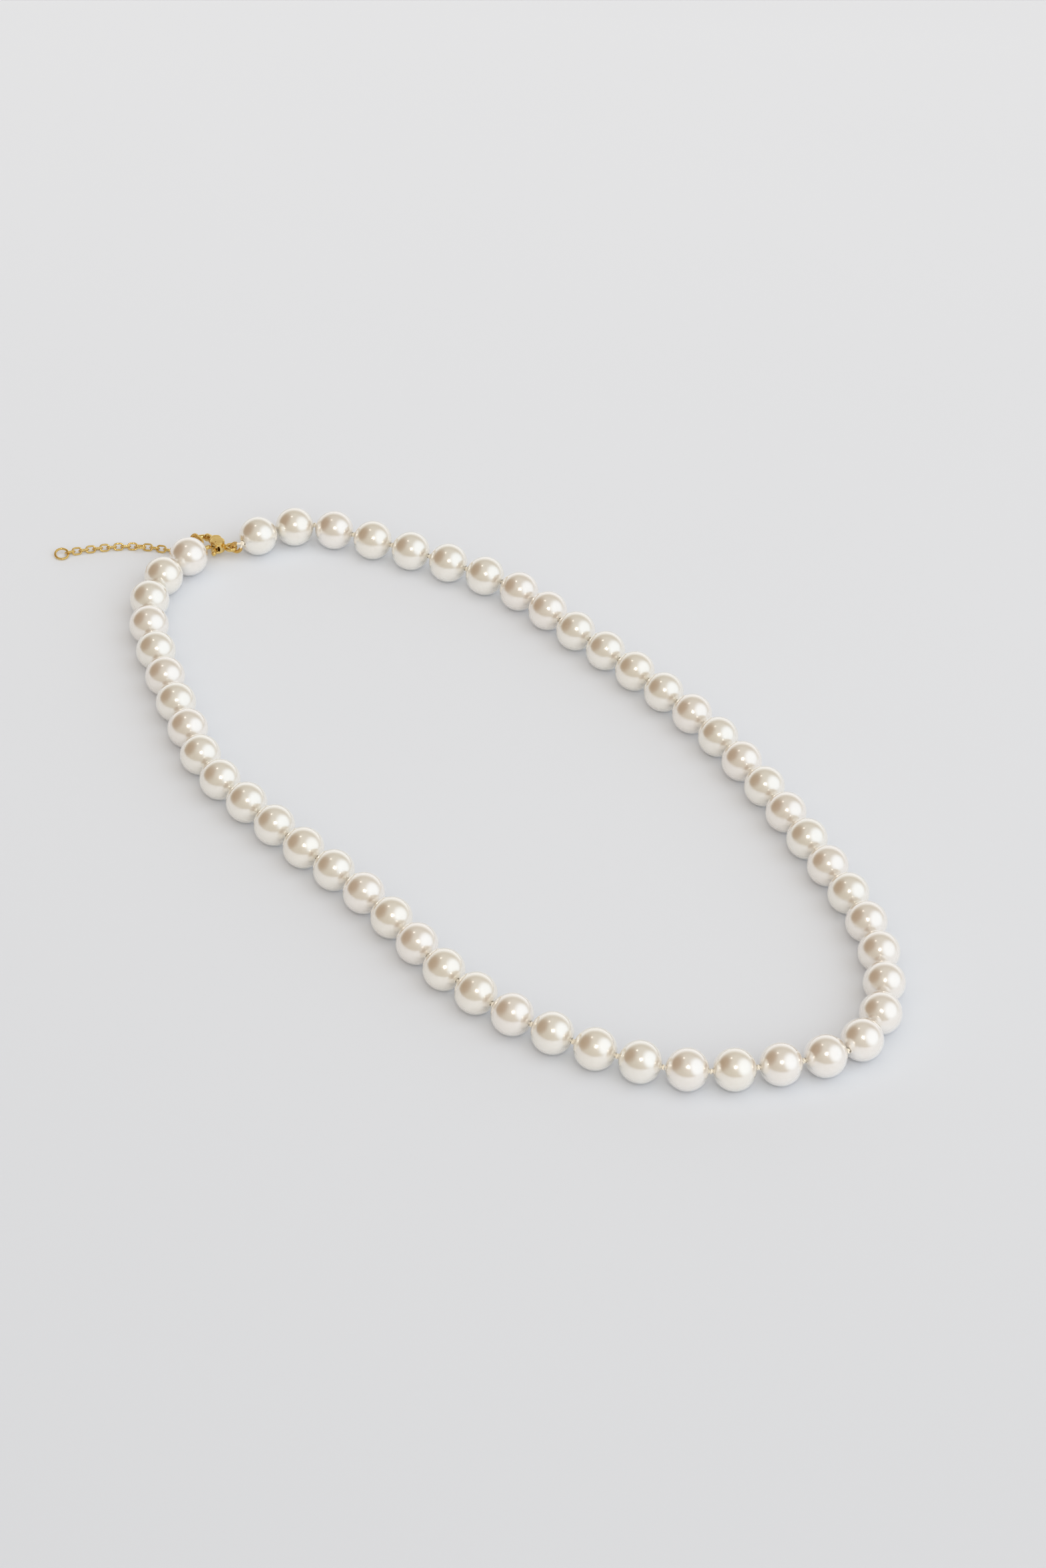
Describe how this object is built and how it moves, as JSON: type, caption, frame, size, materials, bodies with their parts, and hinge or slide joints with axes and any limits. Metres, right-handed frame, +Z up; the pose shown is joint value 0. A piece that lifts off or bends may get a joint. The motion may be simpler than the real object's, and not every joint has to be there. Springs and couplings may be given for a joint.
{
  "type": "pearl necklace",
  "caption": "Knotted pearl necklace in a closed loop, fastened at the back by a gold lobster claw hooked into the ring of a short extender chain.",
  "frame": {"origin": "middle of the bounding box in X and Y, at the level the necklace lies on", "axes": "+Z up from the table, +Y from the front pearls towards the clasp, +X towards the right-hand side of the loop seen from above"},
  "size_m": [0.096, 0.2157, 0.008],
  "materials": {
    "pearl_shell": "nacre-like pearl lacquer, high gloss",
    "cream_thread": "twisted cream thread, slight sheen",
    "gold_plate": "polished yellow gold plating",
    "gold_coil": "fine gold wire coil"
  },
  "bodies": {
    "rear": {"pearls_rear_left": "pearl_shell", "pearls_rear_right": "pearl_shell", "thread_rear_left": "cream_thread", "thread_rear_right": "cream_thread", "clasp_body": "gold_plate", "clasp_pin": "gold_plate", "clasp_spring": "gold_plate", "wire_loop_tail": "gold_coil", "wire_loop_hook": "gold_coil", "extender_ring": "gold_plate"},
    "lever": {"clasp_lever": "gold_plate"},
    "shoulder": {"pearls_shoulder_left": "pearl_shell", "pearls_shoulder_right": "pearl_shell", "thread_shoulder": "cream_thread"},
    "collar": {"pearls_collar_left": "pearl_shell", "pearls_collar_right": "pearl_shell", "thread_collar": "cream_thread"},
    "side_left": {"pearls_side_left": "pearl_shell", "thread_side_left": "cream_thread"},
    "side_right": {"pearls_side_right": "pearl_shell", "thread_side_right": "cream_thread"},
    "waist": {"pearls_waist_left": "pearl_shell", "pearls_waist_right": "pearl_shell", "thread_waist": "cream_thread"},
    "lower": {"pearls_lower_left": "pearl_shell", "pearls_lower_right": "pearl_shell", "thread_lower": "cream_thread"},
    "bib": {"pearls_bib_left": "pearl_shell", "pearls_bib_right": "pearl_shell", "thread_bib": "cream_thread"},
    "front": {"pearls_front": "pearl_shell", "thread_front": "cream_thread"},
    "chain_link_01": {"chain_link_01": "gold_plate"},
    "chain_link_02": {"chain_link_02": "gold_plate"},
    "chain_link_03": {"chain_link_03": "gold_plate"},
    "chain_link_04": {"chain_link_04": "gold_plate"},
    "chain_link_05": {"chain_link_05": "gold_plate"},
    "chain_link_06": {"chain_link_06": "gold_plate"},
    "chain_middle_ring": {"chain_middle_ring": "gold_plate"},
    "chain_link_07": {"chain_link_07": "gold_plate"},
    "chain_link_08": {"chain_link_08": "gold_plate"},
    "chain_link_09": {"chain_link_09": "gold_plate"},
    "chain_link_10": {"chain_link_10": "gold_plate"},
    "chain_link_11": {"chain_link_11": "gold_plate"},
    "chain_link_12": {"chain_link_12": "gold_plate"},
    "chain_link_13": {"chain_link_13": "gold_plate"},
    "chain_link_14": {"chain_link_14": "gold_plate"},
    "chain_link_15": {"chain_link_15": "gold_plate"},
    "chain_link_16": {"chain_link_16": "gold_plate"},
    "chain_end_ring": {"chain_end_ring": "gold_plate"}
  },
  "joints": [
    {"name": "fold_at_shoulder", "type": "hinge", "parent": "rear", "child": "shoulder", "pos_m": [-0.02515, 0.07612, 0.004], "axis": [-0.9988, 0.0482, 0], "range_deg": [-35, 35]},
    {"name": "fold_at_collar", "type": "hinge", "parent": "shoulder", "child": "collar", "pos_m": [-0.03563, 0.05257, 0.004], "axis": [-0.9997, 0.0236, 0], "range_deg": [-35, 35]},
    {"name": "sway_left_side", "type": "hinge", "parent": "collar", "child": "side_left", "pos_m": [-0.04403, 0.02818, 0.004], "axis": [0, 0, 1], "range_deg": [-18, 18]},
    {"name": "sway_right_side", "type": "hinge", "parent": "collar", "child": "side_right", "pos_m": [0.04177, 0.02583, 0.004], "axis": [0, 0, 1], "range_deg": [-18, 18]},
    {"name": "sway_keeps_front_square", "type": "hinge", "parent": "side_left", "child": "waist", "pos_m": [-0.04178, -0.01473, 0.004], "axis": [0, 0, 1], "range_deg": [-18, 18]},
    {"name": "fold_at_waist", "type": "hinge", "parent": "waist", "child": "lower", "pos_m": [-0.04268, -0.04047, 0.004], "axis": [-0.9997, 0.0252, 0], "range_deg": [-35, 35]},
    {"name": "fold_at_lower", "type": "hinge", "parent": "lower", "child": "bib", "pos_m": [-0.03881, -0.06584, 0.004], "axis": [-0.9997, 0.0245, 0], "range_deg": [-35, 35]},
    {"name": "fold_at_bib", "type": "hinge", "parent": "bib", "child": "front", "pos_m": [-0.02674, -0.08853, 0.004], "axis": [-0.9985, 0.0548, 0], "range_deg": [-35, 35]},
    {"name": "clasp_lever_press", "type": "hinge", "parent": "rear", "child": "lever", "pos_m": [0.00051, 0.08848, 0.00218], "axis": [-0.04, 0.0571, 0.9976], "range_deg": [0, 25], "stiffness_Nm_per_rad": 0.002, "springref_deg": -8.59, "deforming": ["clasp_spring"]},
    {"name": "swing_chain_link_01", "type": "hinge", "parent": "rear", "child": "chain_link_01", "pos_m": [-0.00502, 0.09226, 0.00143], "axis": [0.3368, -0.0594, -0.9397], "range_deg": [-12, 12]},
    {"name": "swing_chain_link_02", "type": "hinge", "parent": "chain_link_01", "child": "chain_link_02", "pos_m": [-0.00567, 0.0933, 0.00094], "axis": [0.8699, 0.4218, -0.2556], "range_deg": [-20, 20]},
    {"name": "swing_chain_link_03", "type": "hinge", "parent": "chain_link_02", "child": "chain_link_03", "pos_m": [-0.00646, 0.09443, 0.00067], "axis": [0.3148, 0.4221, 0.8501], "range_deg": [-20, 20]},
    {"name": "swing_chain_link_04", "type": "hinge", "parent": "chain_link_03", "child": "chain_link_04", "pos_m": [-0.00736, 0.09557, 0.00067], "axis": [-0.5572, -0.4353, 0.7071], "range_deg": [-20, 20]},
    {"name": "swing_chain_link_05", "type": "hinge", "parent": "chain_link_04", "child": "chain_link_05", "pos_m": [-0.00831, 0.09666, 0.00067], "axis": [-0.5337, -0.4639, -0.7071], "range_deg": [-20, 20]},
    {"name": "swing_chain_link_06", "type": "hinge", "parent": "chain_link_05", "child": "chain_link_06", "pos_m": [-0.00931, 0.09771, 0.00067], "axis": [0.5087, 0.4912, -0.7071], "range_deg": [-20, 20]},
    {"name": "swing_chain_middle_ring", "type": "hinge", "parent": "chain_link_06", "child": "chain_middle_ring", "pos_m": [-0.01037, 0.09869, 0.00067], "axis": [0.4822, 0.5171, 0.7071], "range_deg": [-20, 20]},
    {"name": "swing_chain_link_07", "type": "hinge", "parent": "chain_middle_ring", "child": "chain_link_07", "pos_m": [-0.01167, 0.09978, 0.00067], "axis": [-0.5872, -0.6998, 0.4067], "range_deg": [-20, 20]},
    {"name": "swing_chain_link_08", "type": "hinge", "parent": "chain_link_07", "child": "chain_link_08", "pos_m": [-0.01283, 0.10062, 0.00067], "axis": [-0.4156, -0.5721, -0.7071], "range_deg": [-20, 20]},
    {"name": "swing_chain_link_09", "type": "hinge", "parent": "chain_link_08", "child": "chain_link_09", "pos_m": [-0.01406, 0.10139, 0.00067], "axis": [0.3747, 0.5997, -0.7071], "range_deg": [-20, 20]},
    {"name": "swing_chain_link_10", "type": "hinge", "parent": "chain_link_09", "child": "chain_link_10", "pos_m": [-0.01534, 0.10207, 0.00067], "axis": [0.332, 0.6243, 0.7071], "range_deg": [-20, 20]},
    {"name": "swing_chain_link_11", "type": "hinge", "parent": "chain_link_10", "child": "chain_link_11", "pos_m": [-0.01663, 0.10272, 0.00067], "axis": [-0.3183, -0.6314, 0.7071], "range_deg": [-20, 20]},
    {"name": "swing_chain_link_12", "type": "hinge", "parent": "chain_link_11", "child": "chain_link_12", "pos_m": [-0.01794, 0.10335, 0.00067], "axis": [-0.3044, -0.6382, -0.7071], "range_deg": [-20, 20]},
    {"name": "swing_chain_link_13", "type": "hinge", "parent": "chain_link_12", "child": "chain_link_13", "pos_m": [-0.01926, 0.10394, 0.00067], "axis": [0.2904, 0.6447, -0.7071], "range_deg": [-20, 20]},
    {"name": "swing_chain_link_14", "type": "hinge", "parent": "chain_link_13", "child": "chain_link_14", "pos_m": [-0.0206, 0.10451, 0.00067], "axis": [0.2763, 0.6509, 0.7071], "range_deg": [-20, 20]},
    {"name": "swing_chain_link_15", "type": "hinge", "parent": "chain_link_14", "child": "chain_link_15", "pos_m": [-0.02194, 0.10505, 0.00067], "axis": [-0.262, -0.6568, 0.7071], "range_deg": [-20, 20]},
    {"name": "swing_chain_link_16", "type": "hinge", "parent": "chain_link_15", "child": "chain_link_16", "pos_m": [-0.0233, 0.10555, 0.00067], "axis": [-0.2476, -0.6623, -0.7071], "range_deg": [-20, 20]},
    {"name": "swing_chain_end_ring", "type": "hinge", "parent": "chain_link_16", "child": "chain_end_ring", "pos_m": [-0.02467, 0.10603, 0.00067], "axis": [0.2331, 0.6676, -0.7071], "range_deg": [-20, 20]}
  ],
  "couplings": [
    {"joint": "sway_right_side", "follows": "sway_left_side", "ratio": 1},
    {"joint": "sway_keeps_front_square", "follows": "sway_left_side", "ratio": -1}
  ]
}
